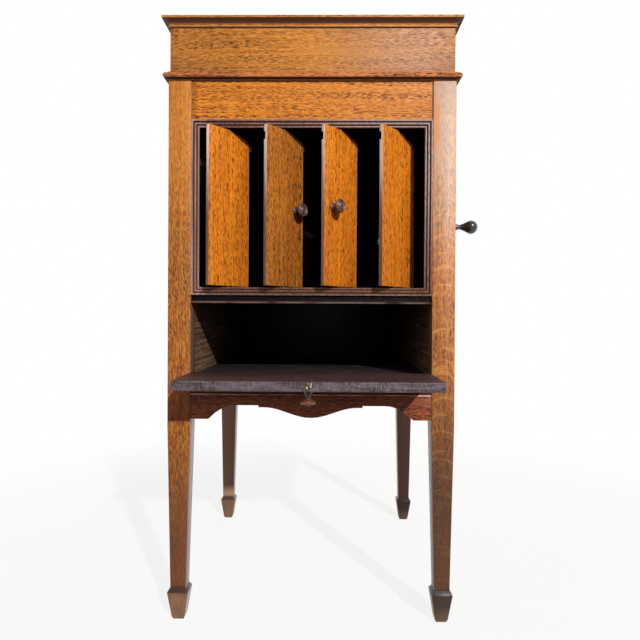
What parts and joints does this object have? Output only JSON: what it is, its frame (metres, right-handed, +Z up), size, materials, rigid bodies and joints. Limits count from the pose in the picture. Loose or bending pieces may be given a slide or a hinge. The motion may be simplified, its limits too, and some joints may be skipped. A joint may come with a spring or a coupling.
{
  "type": "gramophone cabinet",
  "caption": "Floor-standing oak gramophone cabinet with a hinged lid over the turntable, turning tone louvres, a record shelf behind a drop flap, and a winding crank.",
  "frame": {"origin": "on the floor, at the middle of the whole object's outline with the flap lying open", "axes": "+Z up, +X to the cabinet's right seen from the front, +Y from front to back"},
  "size_m": [0.598, 0.6808, 1.0074],
  "materials": {
    "oak": "golden quarter-sawn oak, waxed",
    "dark_oak": "red-brown stained oak, satin",
    "black_oak": "near-black stained oak, matt",
    "brass": "aged brass",
    "iron": "blackened iron",
    "nickel": "worn nickel plate",
    "ebony": "ebonised, polished",
    "felt": "green baize"
  },
  "bodies": {
    "case": {"leg_front_left": "oak", "leg_front_right": "oak", "leg_rear_left": "oak", "leg_rear_right": "oak", "side_panel_left": "oak", "side_panel_right": "oak", "back_panel": "dark_oak", "top_rail": "oak", "louvre_frame": "dark_oak", "divider_rail": "black_oak", "bottom_rail": "dark_oak", "apron_front": "dark_oak", "apron_sides": "dark_oak", "shelf_board": "dark_oak", "chamber_floor": "black_oak", "chamber_ceiling": "black_oak", "chamber_linings": "black_oak", "tone_chamber": "black_oak", "waist_moulding": "dark_oak", "motor_board": "dark_oak", "motor_board_cleats": "dark_oak", "lid_hinges_fixed": "brass", "flap_hinges_fixed": "brass", "crank_escutcheon": "nickel", "motor_frame": "iron", "tone_arm_base": "nickel", "needle_cup": "nickel"},
    "lid": {"lid_band": "oak", "lid_top": "oak", "lid_hinges_moving": "brass", "lid_stay": "brass"},
    "flap": {"flap_board": "dark_oak", "flap_knob": "dark_oak", "flap_catch": "brass", "flap_hinges_moving": "brass"},
    "louvre_1": {"louvre_1": "oak", "louvre_irons_1": "iron"},
    "louvre_2": {"louvre_2": "oak", "louvre_irons_2": "iron", "louvre_knob_left": "dark_oak"},
    "louvre_3": {"louvre_3": "oak", "louvre_irons_3": "iron", "louvre_knob_right": "dark_oak"},
    "louvre_4": {"louvre_4": "oak", "louvre_irons_4": "iron"},
    "tie_bar": {"tie_bar": "iron"},
    "crank": {"crank": "nickel"},
    "handle": {"crank_handle": "ebony"},
    "winding_wheel": {"winding_wheel": "iron"},
    "barrel": {"spring_barrel": "nickel"},
    "turntable": {"turntable_spindle": "nickel", "turntable": "nickel", "turntable_felt": "felt"},
    "governor": {"governor": "brass"},
    "tone_arm": {"tone_arm": "nickel"},
    "sound_box": {"sound_box": "nickel"},
    "brake": {"brake_lever": "nickel"}
  },
  "joints": [
    {"name": "lid_hinge", "type": "hinge", "parent": "case", "child": "lid", "pos_m": [-0.05, 0.3364, 0.9182], "axis": [-1, 0, 0], "range_deg": [0, 64]},
    {"name": "flap_hinge", "type": "hinge", "parent": "case", "child": "flap", "pos_m": [-0.05, -0.2066, 0.3995], "axis": [-1, 0, 0], "range_deg": [0, 90]},
    {"name": "louvre_1_pivot", "type": "hinge", "parent": "case", "child": "louvre_1", "pos_m": [-0.191, -0.1931, 0.69], "axis": [0, 0, 1], "range_deg": [-52, 28]},
    {"name": "louvre_2_pivot", "type": "hinge", "parent": "case", "child": "louvre_2", "pos_m": [-0.097, -0.1931, 0.69], "axis": [0, 0, 1], "range_deg": [-52, 28]},
    {"name": "louvre_3_pivot", "type": "hinge", "parent": "case", "child": "louvre_3", "pos_m": [-0.003, -0.1931, 0.69], "axis": [0, 0, 1], "range_deg": [-52, 28]},
    {"name": "louvre_4_pivot", "type": "hinge", "parent": "case", "child": "louvre_4", "pos_m": [0.091, -0.1931, 0.69], "axis": [0, 0, 1], "range_deg": [-52, 28]},
    {"name": "tie_bar_pin", "type": "hinge", "parent": "louvre_1", "child": "tie_bar", "pos_m": [-0.18479, -0.16242, 0.5585], "axis": [0, 0, 1], "range_deg": [-28, 52]},
    {"name": "crank_turn", "type": "hinge", "parent": "case", "child": "crank", "pos_m": [0.15, 0.0911, 0.834], "axis": [1, 0, 0], "continuous": true},
    {"name": "handle_turn", "type": "hinge", "parent": "crank", "child": "handle", "pos_m": [0.215, 0.0911, 0.706], "axis": [1, 0, 0], "continuous": true},
    {"name": "winding_wheel_turn", "type": "hinge", "parent": "case", "child": "winding_wheel", "pos_m": [-0.05, 0.0911, 0.84], "axis": [0, 0, 1], "continuous": true},
    {"name": "turntable_turn", "type": "hinge", "parent": "case", "child": "turntable", "pos_m": [-0.05, 0.0239, 0.88], "axis": [0, 0, 1], "continuous": true},
    {"name": "barrel_turn", "type": "hinge", "parent": "case", "child": "barrel", "pos_m": [-0.05, 0.0911, 0.85], "axis": [0, 0, 1], "continuous": true},
    {"name": "governor_turn", "type": "hinge", "parent": "case", "child": "governor", "pos_m": [-0.05, -0.0041, 0.838], "axis": [1, 0, 0], "continuous": true},
    {"name": "tone_arm_swing", "type": "hinge", "parent": "case", "child": "tone_arm", "pos_m": [0.1, 0.1789, 0.958], "axis": [0, 0, -1], "range_deg": [0, 41]},
    {"name": "sound_box_tilt", "type": "hinge", "parent": "tone_arm", "child": "sound_box", "pos_m": [0.1, 0.1789, 0.958], "axis": [-0.1736, 0.9848, 0], "range_deg": [0, 90]},
    {"name": "brake_swing", "type": "hinge", "parent": "case", "child": "brake", "pos_m": [-0.2, 0.1439, 0.896], "axis": [0, 0, 1], "range_deg": [0, 18]}
  ],
  "couplings": [
    {"joint": "louvre_2_pivot", "follows": "louvre_1_pivot", "ratio": 1},
    {"joint": "louvre_3_pivot", "follows": "louvre_1_pivot", "ratio": 1},
    {"joint": "louvre_4_pivot", "follows": "louvre_1_pivot", "ratio": 1},
    {"joint": "tie_bar_pin", "follows": "louvre_1_pivot", "ratio": -1},
    {"joint": "winding_wheel_turn", "follows": "crank_turn", "ratio": 0.15625},
    {"joint": "barrel_turn", "follows": "turntable_turn", "ratio": -0.2},
    {"joint": "governor_turn", "follows": "turntable_turn", "ratio": 10}
  ]
}
